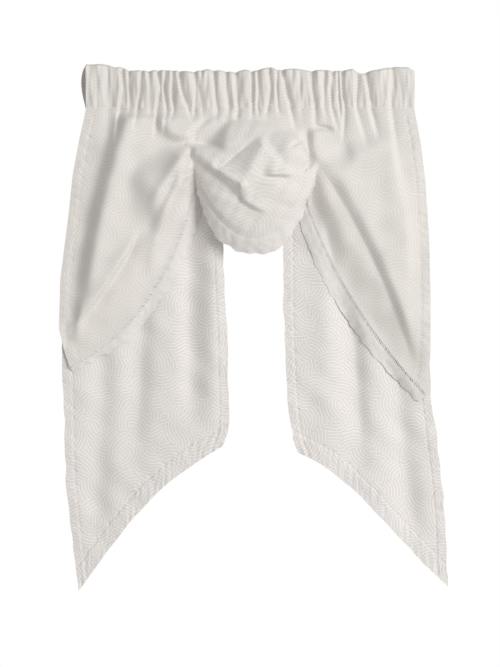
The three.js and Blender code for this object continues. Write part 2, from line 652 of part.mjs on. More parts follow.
function tailMesh(tail) {
  const fromOuter = tail.outer[0][0] < tail.inner[0][0];
  const [left, right] = fromOuter ? [tail.outer, tail.inner] : [tail.inner, tail.outer];
  const columns = seamColumns(left[0][0], right[0][0]);
  const place = (i, j) => {
    const across = (columns[i] - left[0][0]) / (right[0][0] - left[0][0]);
    const inward = fromOuter ? across : 1 - across;
    const foot = lerp(tail.tip, tail.corner, inward) + tail.bow * Math.sin(Math.PI * inward ** tail.lean);
    const z = lerp(SEAM - SEWN_GAP, foot, (j / TAIL_ROWS) ** ROW_SPREAD);
    const x = lerp(edgeAt(left, z), edgeAt(right, z), across);
    return { x, z, depth: tailDepth(x, z), half: halfThickness(tailDepth, x, z) };
  };
  return sheetMesh(tail.name, columns.length - 1, TAIL_ROWS, place);
}

const valance = new THREE.Group();
valance.add(headingMesh(), panelMesh(), ...edgingMeshes(), ...TAILS.map(tailMesh));

export default valance;
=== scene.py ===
from types import SimpleNamespace

import bpy
import numpy as np
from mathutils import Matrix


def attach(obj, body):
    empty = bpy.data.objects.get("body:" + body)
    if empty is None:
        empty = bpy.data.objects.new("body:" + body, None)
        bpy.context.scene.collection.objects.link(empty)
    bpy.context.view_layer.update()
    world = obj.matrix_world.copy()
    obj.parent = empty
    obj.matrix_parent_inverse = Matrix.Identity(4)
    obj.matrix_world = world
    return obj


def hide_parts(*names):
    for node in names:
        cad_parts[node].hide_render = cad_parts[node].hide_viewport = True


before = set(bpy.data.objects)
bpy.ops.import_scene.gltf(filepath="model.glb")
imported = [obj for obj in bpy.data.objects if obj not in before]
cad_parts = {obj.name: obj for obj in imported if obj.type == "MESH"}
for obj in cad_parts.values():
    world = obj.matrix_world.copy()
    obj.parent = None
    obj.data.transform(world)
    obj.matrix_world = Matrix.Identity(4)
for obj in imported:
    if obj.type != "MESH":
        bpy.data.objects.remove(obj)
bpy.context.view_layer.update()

# Rod pocket heading
# A strip of off-white jacquard folded over at the top and sewn through along its foot, open at both ends.
# Pushed together on a rod, it stands in uneven upright gathers. Sizes in millimetres, the front faces -Y.
MM = 0.001
SEAM = -76.0
HEADING_ENDS = (-287.0, 284.0)
HEADING_COLUMNS, HEADING_ROWS = 480, 121
FULLNESS = 1.3  # width of the cloth to that of the heading


def table(columns, *rows, **shared):
    """Rows of numbers under named columns, with the values that all rows share."""
    return [SimpleNamespace(**shared, **dict(zip(columns.split(), row))) for row in rows]


def smooth(share):
    """A share from 0 to 1 that starts and ends gently."""
    share = np.clip(share, 0, 1)
    return share * share * (3 - 2 * share)


def lerp(a, b, share):
    return a + (b - a) * share


def higher(a, b, radius):
    """The higher of two depths, rounded where they cross."""
    return np.maximum(a, b) + radius * np.log1p(np.exp(-np.abs(a - b) / radius))


# Height of the top edge along the heading
TOP_EDGE = table(
    "x rise",
    (-287, 3), (-250, 3), (-236, -2), (-226, -1), (-213, -7), (-190, -7), (-178, -9), (-155, -6), (-128, -8),
    (-100, -9), (-75, -5), (-48, -9), (-26, -10), (-10, -6), (1, -9), (14, -6), (31, -1), (47, -6), (72, -4),
    (106, -8), (124, -6), (143, -8), (160, -7), (176, -5), (192, -13), (206, -9), (236, -3), (274, -1),
    (284, -9),
)

# Each gather: its place at the top edge, half way down, at the seam and at its lower end, how deep its notch
# in the top edge and its crease below are, and its half width on either side
GATHERS = table(
    "top mid seam low low_z notch depth left right",
    (-250, -247, -247, -250, -140, 1, 4, 11, 11),
    (-226, -223, -229, -234, -130, 6, 9, 3, 9),
    (-213, -212, -211, -214, -95, 10, 2, 3, 3.5),
    (-190, -192, -198, -201, -110, 9, 8, 2.5, 4),
    (-178, -176, -174, -176, -95, 2, 3, 5, 5),
    (-163, -158, -164, -166, -125, 11, 8, 3, 5),
    (-149, -151, -147, -150, -118, 3, 7, 3, 4),
    (-136, -137, -134, -138, -98, 3, 6, 3, 3),
    (-125, -122, -109, -102, -96, 12, 7, 3, 4.5),
    (-99, -96, -98, -98, -96, 7, 6, 4, 5),
    (-84, -89, -84, -82, -98, 6, 3, 5, 5),
    (-66, -62, -58, -60, -100, 2, 5, 6, 4),
    (-43, -42, -38, -40, -98, 8, 5, 6, 4),
    (-27, -26, -22, -23, -100, 6, 7, 5, 5),
    (1, 2, 2, 2, -98, 13, 8, 3, 3),
    (11, 13, 12, 16, -96, 2, 5, 3, 4),
    (31, 35, 29, 26, -96, 3, 6, 5, 4),
    (46, 45, 48, 52, -92, 6, 3, 4, 4),
    (52, 60, 69, 78, -115, 12, 9, 3.5, 5),
    (84, 86, 88, 90, -100, 1, 2, 6, 6),
    (106, 107, 112, 113, -105, 13, 9, 4.5, 3.5),
    (127, 127, 129, 134, -100, 2, 3, 5, 5),
    (143, 138, 141, 152, -112, 12, 6, 3.5, 5),
    (150, 152, 154, 158, -100, 1, 4, 2.5, 2.5),
    (158, 158, 163, 160, -130, 9, 9, 2.5, 4),
    (183, 184, 184, 202, -138, 2, 7, 4, 8),
    (196, 204, 209, 222, -125, 13, 9, 4, 5),
    (245, 246, 245, 264, -215, 1, 5, 6, 8),
)
# How much deeper a crease is than its row says, narrower on its left and wider below the seam, how rounded
# its right side is, and the share of its way below the seam at which it starts to fade
DEEPER, NARROW_LEFT, WIDER_BELOW, CREASE_EDGE, FADE_FROM = 1.3, 0.8, 0.6, 0.2, 0.15
NOTCH_HALF, NOTCH_LENGTH = 3.2, 26.0
# The stitched seam holds the creases to a share of their depth, and so does the cloth below it
SEAM_HOLD, BELOW_HOLD, HOLD_REACH = 0.7, 0.85, 16.0
DEEPEST = 14.0


def gathered(x, z):
    """Depth of the heading's gathers, which run on a little below the seam."""
    total = np.zeros_like(x)
    for g in GATHERS:
        line = np.interp(-z, (0, -SEAM / 2, -SEAM, -g.low_z), (g.top, g.mid, g.seam, g.low))
        below = np.clip((SEAM - z) / (SEAM - g.low_z), 0, 2)
        half = np.where(x < line, NARROW_LEFT * g.left, g.right) * (1 + WIDER_BELOW * np.clip(below, 0, 1))
        depth = DEEPER * g.depth * np.clip(1 + FADE_FROM - np.maximum(below, FADE_FROM), 0, 1)
        away = np.abs(x - line) / half
        rounded = np.hypot(away, CREASE_EDGE) - CREASE_EDGE
        total -= depth * np.exp(-np.where(x < line, away**2, rounded))
        total -= g.notch * np.exp(-(((x - line) / NOTCH_HALF) ** 2)) * smooth(1 + z / NOTCH_LENGTH)
    held = lerp(SEAM_HOLD, np.where(z > SEAM, 1.0, BELOW_HOLD), smooth(np.abs(z - SEAM) / HOLD_REACH))
    return DEEPEST * np.tanh(total / DEEPEST) * held


CRUMPLE_WAVES = 18
CRUMPLE_LENGTHS = (0.7, 1.8)  # shortest and longest wave, in shares of the crumple's size


def crumple(x, z, size, height, seed, stretch=1.0):
    """Soft random unevenness of handled cloth: waves of about a size, with a mean height."""
    draw = np.random.default_rng(seed)
    total = 0
    for _ in range(CRUMPLE_WAVES):
        turn, phase = draw.uniform(0, np.pi), draw.uniform(0, 2 * np.pi)
        length = size * draw.uniform(*CRUMPLE_LENGTHS)
        total = total + np.cos(2 * np.pi * (x * np.cos(turn) + z * np.sin(turn) / stretch) / length + phase)
    return height * total / np.sqrt(CRUMPLE_WAVES / 2)


def cloth_piece(name, grids, material):
    """One mesh from grids of points in millimetres, each with the lengths along its cloth."""
    corners, faces, lengths = [], [], []
    start = 0
    for points, along in grids:
        index = start + np.arange(points.shape[0] * points.shape[1]).reshape(points.shape[:2])
        square = [index[:-1, :-1], index[1:, :-1], index[1:, 1:], index[:-1, 1:]]
        faces.append(np.stack(square, axis=-1).reshape(-1, 4))
        corners.append(points.reshape(-1, 3))
        lengths.append(along.reshape(-1, 2))
        start += index.size
    faces = np.concatenate(faces)
    mesh = bpy.data.meshes.new(name)
    mesh.from_pydata(np.concatenate(corners) * MM, [], faces)
    layer = mesh.uv_layers.new(name="cloth")
    layer.uv.foreach_set("vector", (np.concatenate(lengths) * MM)[faces.ravel()].ravel())
    mesh.shade_smooth()
    mesh.materials.append(material)
    piece = bpy.data.objects.new(name, mesh)
    bpy.context.collection.objects.link(piece)
    return piece


def linear(code):
    """A colour's sRGB hex code as linear light."""
    value = np.array([int(code[i:i + 2], 16) for i in (1, 3, 5)]) / 255
    light = np.where(value <= 0.04045, value / 12.92, ((value + 0.055) / 1.055) ** 2.4)
    return (*light, 1.0)


def node(tree, kind, sockets=(), **settings):
    """Adds a node with its settings. At each socket it links a source or sets a value."""
    made = tree.nodes.new(kind)
    for name, value in settings.items():
        setattr(made, name, value)
    for socket, source in dict(sockets).items():
        if isinstance(source, bpy.types.NodeSocket):
            tree.links.new(source, made.inputs[socket])
        else:
            made.inputs[socket].default_value = source
    return made


# Off-white jacquard: raised satin arcs on a duller plain ground give the eye a pale watermark of crossing
# rings that shifts with the folds. Slubs of the yarn are drawn wider than real threads, which are too fine to
# show.
ARC_SPACING, SLUB_SPACING = 5.5, 2.0
PATCH_SIZE = 54.0
# Patches over these: their size, the share of it that their discs reach, and their shift in metres
OVERLAYS = table("size reach shift", (50, 0.46, 0.31), (46, 0.42, 0.77))
RING_CENTRE = 0.62  # how far beside its patch's middle the rings' centre lies, in patch sizes


def ring_patches(tree, place, size, shift):
    """Rings in a patchwork, with the distance from the middle of each patch."""
    kind = "ShaderNodeVectorMath"
    moved = node(tree, kind, {0: place, 1: (shift, 2 * shift, 0)}, operation="ADD").outputs[0]
    spot = node(tree, kind, {0: moved, "Scale": 1 / (size * MM)}, operation="SCALE").outputs[0]
    cells = {"Vector": spot, "Scale": 1.0}
    patch = node(tree, "ShaderNodeTexVoronoi", cells, voronoi_dimensions="2D").outputs
    # Two parts of each patch's random colour point to the centre of its rings
    random = node(tree, kind, {0: patch["Color"], 1: (0.5, 0.5, 0.5)}, operation="SUBTRACT").outputs[0]
    level = node(tree, kind, {0: random, 1: (1, 1, 0)}, operation="MULTIPLY").outputs[0]
    unit = node(tree, kind, {0: level}, operation="NORMALIZE").outputs[0]
    aside = node(tree, kind, {0: unit, "Scale": RING_CENTRE}, operation="SCALE").outputs[0]
    centre = node(tree, kind, {0: patch["Position"], 1: aside}, operation="ADD").outputs[0]
    away = node(tree, kind, {0: spot, 1: centre}, operation="DISTANCE").outputs["Value"]
    turns = {0: away, 1: 2 * np.pi * size / ARC_SPACING}
    turned = node(tree, "ShaderNodeMath", turns, operation="MULTIPLY").outputs[0]
    rings = node(tree, "ShaderNodeMath", {0: turned}, operation="SINE").outputs[0]
    return rings, patch["Distance"]


def jacquard(name, ground, line, raise_mm):
    material = bpy.data.materials.new(name)
    material.use_nodes = True
    tree = material.node_tree
    shader = tree.nodes["Principled BSDF"]
    place = node(tree, "ShaderNodeUVMap", uv_map="cloth").outputs["UV"]
    rings, _ = ring_patches(tree, place, PATCH_SIZE, 0)
    for o in OVERLAYS:
        over, middle = ring_patches(tree, place, o.size, o.shift)
        inside = node(tree, "ShaderNodeMath", {0: middle, 1: o.reach}, operation="LESS_THAN").outputs[0]
        rings = node(tree, "ShaderNodeMix", {0: inside, 2: rings, 3: over}).outputs[0]
    crests = {"Value": rings, "From Min": 0.1, "From Max": 1.0}
    raised = node(tree, "ShaderNodeMapRange", crests, interpolation_type="SMOOTHSTEP").outputs[0]
    yarn = {"Vector": place, "Scale": 1 / (SLUB_SPACING * MM), "Detail": 2.0}
    slub = node(tree, "ShaderNodeTexNoise", yarn).outputs[0]
    flecks = {"Value": slub, "From Min": 0.3, "From Max": 0.7, "To Min": -0.8, "To Max": 0.8}
    fleck = node(tree, "ShaderNodeMapRange", flecks).outputs[0]
    amount = node(tree, "ShaderNodeMath", {0: raised, 1: fleck}, operation="ADD", use_clamp=True).outputs[0]
    shades = {0: amount, 6: linear(ground), 7: linear(line)}
    colour = node(tree, "ShaderNodeMix", shades, data_type="RGBA").outputs[2]
    bump = node(tree, "ShaderNodeBump", {"Height": amount, "Strength": 1.0, "Distance": raise_mm * MM})
    tree.links.new(colour, shader.inputs["Base Color"])
    tree.links.new(bump.outputs[0], shader.inputs["Normal"])
    shader.inputs["Roughness"].default_value = 0.82
    shader.inputs["Specular IOR Level"].default_value = 0.25
    shader.inputs["Sheen Weight"].default_value = 0.15
    shader.inputs["Sheen Roughness"].default_value = 0.5
    return material


# Gathered up, the cloth shows its watermark less
gathered_cloth = jacquard("off-white cotton jacquard, gathered", "#dcd7d1", "#e6e2dd", 0.06)

# Depth of the pocket's front and back layer where it is full and at the seam
POCKET_FRONT, POCKET_BACK = 14.0, -13.0
SEAM_DEPTH, SEAM_BACK = 6.0, 4.2
# Shares of the drop over which the top turns over, after which the pocket closes, and in which wrinkles end
TURN_OVER, CLOSE_FROM, WRINKLE_END = 0.08, 0.2, 0.1
# Share of the gathers' depth, a little way down, by which they dip the top edge
EDGE_DIP, DIP_Z = 0.1, -12.0
TOP_CREASE = 0.8  # share of the creases' depth that is left at the top edge
# Row of stitches near both ends: where it begins, how gradually, its height over the seam, half width, the
# height over which it fades at the seam, and its depth
STITCH_FROM, STITCH_EASE = 210.0, 30.0
STITCH_RISE, STITCH_HALF, STITCH_FADE, STITCH_DEPTH = 4.0, 1.6, 8.0, 0.9
# Least depth of the front layer, so that no crease cuts through the back: a share of the fullness at the top,
# falling away towards the seam between two shares of the drop
LEAST_SHARE, LEAST_FOOT, LEAST_FROM, LEAST_OVER, LEAST_ROUND = 0.05, -12.0, 0.5, 0.4, 0.8
# The back layer's gathers are shallower and lie aside, and join the front's at the seam
BACK_GATHER, BACK_ASIDE, BACK_JOIN = 0.35, 9.0, 6
# At the left end the back layer bulges out
BACK_BULGE, BULGE_REACH, BULGE_HIGH = 9.0, 16.0, 0.7

column = np.linspace(*HEADING_ENDS, HEADING_COLUMNS)[None, :] + np.zeros((HEADING_ROWS, 1))
turn = np.linspace(-np.pi, np.pi, HEADING_ROWS)[:, None] + np.zeros((1, HEADING_COLUMNS))
down = (1 - np.cos(turn)) / 2
top_edge = np.interp(column, [e.x for e in TOP_EDGE], [e.rise for e in TOP_EDGE])
top_edge += crumple(column, 0 * column, size=24, height=0.4, seed=5)
top_edge += EDGE_DIP * gathered(column, np.full_like(column, DIP_Z))
z = lerp(top_edge, SEAM, down)
roof = np.sqrt(1 - (1 - np.clip(down / TURN_OVER, 0, 1)) ** 2)
closing = smooth((down - CLOSE_FROM) / (1 - CLOSE_FROM))
fullness = lerp(POCKET_FRONT, SEAM_DEPTH, closing) * roof
wrinkles = crumple(column, z, size=16, height=0.6, seed=11, stretch=4)
wrinkles += crumple(column, z, size=8, height=0.35, seed=12, stretch=5)
creases = gathered(column, z) + wrinkles * smooth((1 - down) / WRINKLE_END)
stitches = smooth((np.abs(column) - STITCH_FROM) / STITCH_EASE)
stitches *= np.exp(-(((z - SEAM - STITCH_RISE) / STITCH_HALF) ** 2)) * smooth((z - SEAM) / STITCH_FADE)
least = lerp(LEAST_SHARE * fullness, LEAST_FOOT, smooth((down - LEAST_FROM) / LEAST_OVER))
front = fullness + creases * lerp(TOP_CREASE, 1, roof) - STITCH_DEPTH * stitches
front = higher(front, least, LEAST_ROUND)
slack = lerp(POCKET_BACK, SEAM_BACK, closing) * roof
back = slack - BACK_GATHER * gathered(column + BACK_ASIDE, z) * roof * (1 - down)
back += gathered(column, z) * down**BACK_JOIN
bulge = BACK_BULGE * np.exp(-(((column - HEADING_ENDS[0]) / BULGE_REACH) ** 2))
bulge *= np.sin(np.pi * down**BULGE_HIGH)
x = np.where(turn < 0, column - bulge, column)
points = np.stack([x, -np.where(turn < 0, back, front), z], axis=2)
lengths = np.stack([column * FULLNESS, np.where(turn < 0, z, -z)], axis=2)
heading = cloth_piece("gathered_heading", [(points, lengths)], gathered_cloth)
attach(heading, "root")
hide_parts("heading")

# Tails
# Two lengths of the jacquard sewn in the heading's seam behind the panel, each cut to a slant at the foot.
# Side hems are 16 mm wide and foot hems 28 mm, and the stitching draws them into small slanting puckers.
TAIL_DEPTH, BEHIND_SEAM = -7.0, 1.0
TAIL_COLUMNS, TAIL_ROWS = 150, 400
HANG = 60.0  # drop below the seam in which its gathers run out

# Folds run from a start past a middle to an end. Each has a depth and a width on its left and right and fades
# in and out over shares of its run. How blurred its middle is, how narrow its start, how round its top and
# how its ends slant is given for a whole table where all its folds are alike.
FOLD = "x0 z0 x1 z1 x2 z2 left right left_width right_width fade_in fade_out"
TAIL_FOLDS = table(
    FOLD,
    (-104, -200, -106, -440, -100, -640, -11, -11, 24, 18, 0.15, 0.25),
    (-176, -90, -192, -450, -206, -740, -10, -10, 20, 26, 0.05, 0.25),
    (-262, -300, -262, -620, -276, -860, -7, -7, 22, 22, 0.3, 0.2),
    (-62, -100, -66, -420, -66, -660, 5, 5, 18, 20, 0.1, 0.2),
    (126, -100, 132, -420, 134, -690, 4, 4, 26, 24, 0.1, 0.2),
    (150, -90, 178, -480, 196, -740, -12, -12, 17, 26, 0.05, 0.25),
    (238, -90, 256, -560, 290, -860, -9, -9, 20, 24, 0.05, 0.15),
    edge=3, start=1, round=2, slant=0,
)

jacquard_cloth = jacquard("off-white cotton jacquard", "#dcd7d2", "#efebe8", 0.1)


def curve(start, bend, end, share):
    """Points of a curve that leaves start and reaches end, drawn towards bend."""
    share = np.asarray(share)[..., None]
    start, bend, end = (np.array(p, float) for p in (start, bend, end))
    return (1 - share) ** 2 * start + 2 * share * (1 - share) * bend + share**2 * end


def beside(f, x, z):
    """Distance of points to the left of a fold's bowed run, and their share of it between slanting ends."""
    run_x, run_z = f.x2 - f.x0, f.z2 - f.z0
    length = np.hypot(run_x, run_z)

    def placed(px, pz):
        px, pz = px - f.x0, pz - f.z0
        return (px * run_x + pz * run_z) / length**2, (run_x * pz - run_z * px) / length

    middle, offset = placed(f.x1, f.z1)
    bow = offset / (middle * (1 - middle))
    share, left = placed(x, z)
    along = np.clip(share, 0, 1)
    left = (left - bow * along * (1 - along)) / np.hypot(1, bow * (1 - 2 * along) / length)
    return left, np.clip(share + f.slant * left / length, 0, 1)


def folded(folds, x, z):
    """Depth of a list of folds. Each rises or sinks on either side of its run, and fades at its ends."""
    total = np.zeros_like(x)
    for f in folds:
        side, along = beside(f, x, z)
        away = np.hypot(side, f.edge) - f.edge if f.round == 1 else np.abs(side)
        spread = lerp(f.start, 1, along)
        left = f.left * np.exp(-((away / (f.left_width * spread)) ** f.round))
        right = f.right * np.exp(-((away / (f.right_width * spread)) ** f.round))
        fade = np.clip(along / f.fade_in, 0, 1) * np.clip((1 - along) / f.fade_out, 0, 1)
        total += lerp(right, left, 0.5 + 0.5 * np.tanh(side / f.edge)) * smooth(fade)
    return total


def tail_depth(x, z):
    """Long soft flutes, which begin at the seam's gathers."""
    hang = smooth((SEAM - z) / HANG)
    gather = SEAM_BACK - BEHIND_SEAM + gathered(x, z) * (1 - hang)
    flutes = TAIL_DEPTH + folded(TAIL_FOLDS, x, z) + crumple(x, z, size=60, height=0.8, seed=62)
    return lerp(gather, flutes, hang)


# Widths of the hems, their added thickness and its edge, the depth and half width of their stitch line, and
# how far their ripple runs past it and fades
SIDE_HEM, FOOT_HEM = 16.0, 28.0
HEM_THICK, HEM_EDGE = 0.5, 2.0
HEM_STITCH, HEM_STITCH_HALF = 0.7, 1.5
RIPPLE_PAST, RIPPLE_FADE = 4.0, 6.0
# Puckers: half width, reach on either side of the stitch line, and the ranges of their first place, of the
# steps between them, of their lean and of their depth
PUCKER_HALF, PUCKER_REACH = 2.2, 7.0
PUCKER_FIRST, PUCKER_STEP, PUCKER_LEAN, PUCKER_DEPTH = (5, 20), (8, 34), (0.5, 1.2), (0.3, 1.5)


def hemmed(distance, along, width, seed):
    """Relief of a turned hem: doubled cloth, its stitch line and the uneven puckers across it."""
    draw = np.random.default_rng(seed)
    doubled = HEM_THICK * smooth((width - distance) / HEM_EDGE)
    stitch = -HEM_STITCH * np.exp(-(((distance - width) / HEM_STITCH_HALF) ** 2))
    ripple = crumple(along, distance, size=11, height=0.3, seed=seed, stretch=2)
    ripple *= smooth((width + RIPPLE_PAST - distance) / RIPPLE_FADE)
    puckers = np.zeros_like(distance)
    at = draw.uniform(*PUCKER_FIRST)
    while at < along.max():
        lean, size = draw.uniform(*PUCKER_LEAN), draw.uniform(*PUCKER_DEPTH)
        puckers -= size * np.exp(-(((along - at - lean * (distance - width)) / PUCKER_HALF) ** 2))
        at += draw.uniform(*PUCKER_STEP)
    puckers *= np.exp(-(((distance - width) / PUCKER_REACH) ** 2))
    return doubled + stitch + ripple + puckers


def tail(name, outer, inner, tip, corner, bow, bow_lean, cad_node, seed):
    """One tail between its outer and inner edge, with the heights of its foot's tip and inner corner."""
    across = np.linspace(0, 1, TAIL_COLUMNS)[None, :]
    drop = np.linspace(0, 1, TAIL_ROWS)[:, None]
    foot = lerp(corner, tip, across) + bow * np.sin(np.pi * (1 - across) ** bow_lean)
    z = lerp(SEAM, foot, drop)
    edges = [np.array(edge, float)[::-1] for edge in (inner, outer)]
    inner_x, outer_x = (np.interp(z, edge[:, 1], edge[:, 0]) for edge in edges)
    x = lerp(inner_x, outer_x, across) + crumple(z, 0 * z, size=45, height=0.7, seed=seed)
    hang = smooth((SEAM - z) / HANG)
    depth = tail_depth(x, z)
    for edge_x, k in ((inner_x, 2), (outer_x, 3)):
        depth += hemmed(np.abs(x - edge_x), -z, SIDE_HEM, seed + k) * hang
    slope = np.hypot(1, (tip - corner) / np.abs(outer_x - inner_x))
    depth += hemmed((z - foot) / slope, np.abs(x - inner_x) * slope, FOOT_HEM, seed + 4) * hang
    grid = np.stack([x, -depth, z, x, -z], axis=2)
    if outer[0][0] < inner[0][0]:
        grid = grid[:, ::-1]
    piece = cloth_piece(name, [(grid[:, :, :3], grid[:, :, 3:])], jacquard_cloth)
    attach(piece, "root")
    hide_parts(cad_node)


tail(
    "left_tail",
    outer=[
        (-283, SEAM), (-300, -200), (-329, -450), (-330, -500), (-327, -560), (-323, -720), (-310, -840),
        (-300, -914),
    ],
    inner=[(-56, SEAM), (-48, -330), (-41, -480), (-38, -600), (-41, -640), (-50, -664)],
    tip=-914, corner=-662, bow=24, bow_lean=1.2, cad_node="tail_left", seed=61,
)
tail(
    "right_tail",
    outer=[(280, SEAM), (298, -200), (307, -407), (313, -570), (332, -720), (338, -790), (343, -906)],
    inner=[(57, SEAM), (57, -430), (61, -540), (66, -600), (72, -650), (84, -676)],
    tip=-906, corner=-674, bow=24, bow_lean=1.6, cad_node="tail_right", seed=71,
)

# Front balloon panel
# One gathered cloth sewn in the heading's foot seam. Drawn up at two points, it hangs as a pinched pouf
# between two swags, whose folds run from the gathers to the outer corners.
PANEL_COLUMNS, PANEL_ROWS = (96, 156, 88), 250
PULLS = (-110.0, 110.0)

SWAG_FOLDS = table(
    FOLD + " edge",
    # Ridges from the left gather, the crease that runs out between them and the corner
    (-106, -138, -140, -190, -180, -262, 6, 6, 9, 11, 0.1, 0.35, 3),
    (-122, -186, -142, -218, -166, -256, -3, -3, 8, 9, 0.25, 0.4, 3),
    (-112, -186, -150, -268, -180, -381, 8, 8, 11, 14, 0.15, 0.3, 3),
    (-190, -280, -244, -374, -312, -462, -8, 8, 16, 18, 0.25, 0.35, 2),
    (-288, -392, -297, -440, -305, -490, 6, 6, 9, 8, 0.5, 0.4, 2),
    (-325, -440, -321, -470, -316, -500, -3, -3, 6, 6, 0.25, 0.25, 2),
    # Streaks from the heading into the left gather
    (-40, -86, -75, -108, -104, -138, 4, 4, 8, 8, 0.2, 0.2, 2),
    (-62, -80, -88, -104, -110, -128, -5, -5, 7, 7, 0.2, 0.2, 2),
    # Side strip of the right swag
    (225, -110, 256, -220, 268, -400, 6, 6, 14, 26, 0.3, 0.3, 3),
    # Tuck right of the right gather: its top crease, its edge over the gather and its face
    (102, -109, 124, -108, 148, -115, -8, -8, 5, 6, 0.4, 0.4, 2),
    (104, -104, 103, -140, 116, -178, 9, -3, 26, 14, 0.2, 0.3, 7),
    (155, -120, 163, -145, 168, -182, -6, -6, 13, 17, 0.4, 0.5, 2),
    start=1, round=2, slant=0,
)

# Tents: from a crease along the run the cloth rises on its left to a crown, and falls again behind it. Near
# and far are the distances from crease to crown at both ends of the run. Two columns say how round both are.
TENT = "x0 z0 x1 z1 x2 z2 height near far fall fade_in fade_out crown crease slant"
SWAG_TENTS = table(
    TENT,
    # Left swag: roll beside the side strip, belly under the tuck, and the rolled tuck itself
    (-228, -62, -279, -256, -317, -480, 30, 22, 22, 40, 0.05, 0.35, 0.35, 3.5, 0),
    (-122, -134, -205, -186, -210, -268, 32, 44, 50, 60, 0.15, 0.45, 0.3, 4, 0),
    (-166, -58, -160, -116, -104, -136, 15, 20, 12, 40, 0.05, 0.2, 0.25, 2, 0),
    # Right swag above its long crease, and the fold from the right gather along its hem
    (106, -156, 205, -322, 287, -535, 13, 18, 9, 90, 0.15, 0.25, 0.25, 1, 0),
    (100, -165, 117, -246, 163, -345, 9, 28, 16, 50, 0.25, 0.5, 0.3, 3, 0),
)
POUF_TENTS = table(
    TENT,
    # Upright ridge over the top petal's pocket, and middle petal over the hollow above the bowl's lip
    (22, -120, -16, -147, -56, -182, 19, 11, 60, 34, 0.16, 0.5, 0.2, 0.8, 0),
    (-97, -169, -58, -197, -6, -248, 17, 2.5, 24, 14, 0.45, 0.25, 0.25, 0.8, 0.3),
    # Its nose, and its tongue over the smile crease
    (14, -184, -25, -181, -59, -180, 6, 8, 8, 14, 0.5, 0.25, 0.3, 2, 0),
    (-24, -235, 4, -252, 36, -265, 11, 6, 8, 24, 0.3, 0.6, 0.25, 0.8, 0),
    # Right lobe over the soft hollow beside the ridge, upper lobe over the level crease, and the dent below
    (38, -104, 44, -142, 36, -184, 16, 22, 22, 60, 0.35, 0.5, 0.35, 5, 0),
    (18, -195, 50, -196, 80, -193, 13, 4, 5, 18, 0.4, 0.35, 0.25, 0.8, 0),
    (26, -186, 20, -206, 12, -230, 6, 24, 20, 50, 0.5, 0.5, 0.3, 3, 0),
    # Left flank of the top petal
    (-45, -162, -44, -130, -30, -90, -50, 42, 40, 900, 0.26, 0.2, 0.1, 3, -0.12),
)

POUF_FOLDS = table(
    FOLD + " edge start round",
    # Upright fold at the middle petal's edge, and the creases at the right gather
    (-18, -203, -17, -222, -14, -240, 3, 3, 9, 3, 0.2, 0.15, 1, 1, 2),
    (94, -125, 81, -135, 66, -146, -6, -6, 3.5, 4, 0.2, 0.4, 2, 1, 2),
    (110, -164, 98, -176, 84, -190, -8, -8, 4, 7, 0.2, 0.4, 2, 1, 2),
    # Edge of the top petal over its pocket, and the strap from the left gather to the petals
    (0, -136, -28, -157, -57, -182, -6, 0, 5, 5, 0.3, 0.3, 1, 1, 1),
    (-106, -152, -82, -163, -54, -180, 7, 7, 9, 9, 0.15, 0.3, 3, 1, 2),
    # Soft dents of the bowl
    (-100, -180, -70, -240, -40, -296, -3, -3, 14, 18, 0.3, 0.3, 3, 0.4, 2),
    (108, -176, 74, -230, 40, -290, -3, -3, 14, 18, 0.3, 0.4, 3, 0.4, 2),
    slant=0,
)

SWELL = "x z reach_x reach_z height tilt"
# Broad swells of the swags, and smaller ones beside the gathers
SWAG_SWELLS = table(
    SWELL,
    (-190, -260, 70, 130, 6, -8),
    (215, -200, 80, 120, 5, 8),
    (-116, -180, 24, 40, 13, 0),
    (120, -190, 24, 40, 5, 0),
)
# Small pits at the gathers and under the heading's seam
PITS = table(
    SWELL,
    (-105, -157, 5, 7, -3, 0),
    (-110, -203, 6, 9, -4, 20),
    (98, -126, 9, 13, -4, 0),
    (-24, -86, 5, 7, -5, 0),
)


def swelled(swells, x, z):
    """Depth of a list of swells, each an oval tilted by some degrees."""
    total = np.zeros_like(x)
    for s in swells:
        tilt = np.radians(s.tilt)
        u = (x - s.x) * np.cos(tilt) + (z - s.z) * np.sin(tilt)
        v = (z - s.z) * np.cos(tilt) - (x - s.x) * np.sin(tilt)
        total += s.height * np.exp(-((u / s.reach_x) ** 2) - (v / s.reach_z) ** 2)
    return total


FALL_END = 50  # a tent's fall is followed no further than this many of its lengths


def tented(tents, x, z):
    """Depth of a list of tents."""
    total = np.zeros_like(x)
    for t in tents:
        side, along = beside(t, x, z)
        reach = lerp(t.near, t.far, along)
        away = t.crease * np.logaddexp(0, side / t.crease)
        fall = np.exp(-np.clip((away - reach) / t.fall, -1, FALL_END))
        height = -higher(-away / reach, -fall, t.crown)
        fade = np.clip(along / t.fade_in, 0, 1) * np.clip((1 - along) / t.fade_out, 0, 1)
        total += t.height * np.maximum(height, 0) * smooth(fade)
    return total


# The pouf is pinched at its half width, narrower at its top right, at the height of the gathers. From there
# it rises, and drops to its hem and to the foot of its round face. Its lowest point lies a little right.
PINCH, PINCH_TOP, PINCH_Z = 119.0, 100.0, -168.0
POUF_RISE, POUF_HEM, POUF_FOOT, POUF_SHIFT = 74.0, 132.0, 160.0, 8.0
EDGE_FULL = 0.75  # the lower, the fuller its lower edge


def pouf_edge(x, drop):
    """Lower edge of the pouf at a given drop below its gathers."""
    share = (x - POUF_SHIFT) / (PINCH - POUF_SHIFT)
    return PINCH_Z - drop * np.clip(1 - share**2, 0, 1) ** EDGE_FULL


# Each swag's hem as a curve: its start, the point that draws it down on its way, and its end
LEFT_HEM = ((-316, -524), (-151, -430), (-97, pouf_edge(-97, POUF_HEM)))
RIGHT_HEM = ((96, pouf_edge(96, POUF_HEM)), (154, -404), (306, -572))
HEM_STEPS = 60


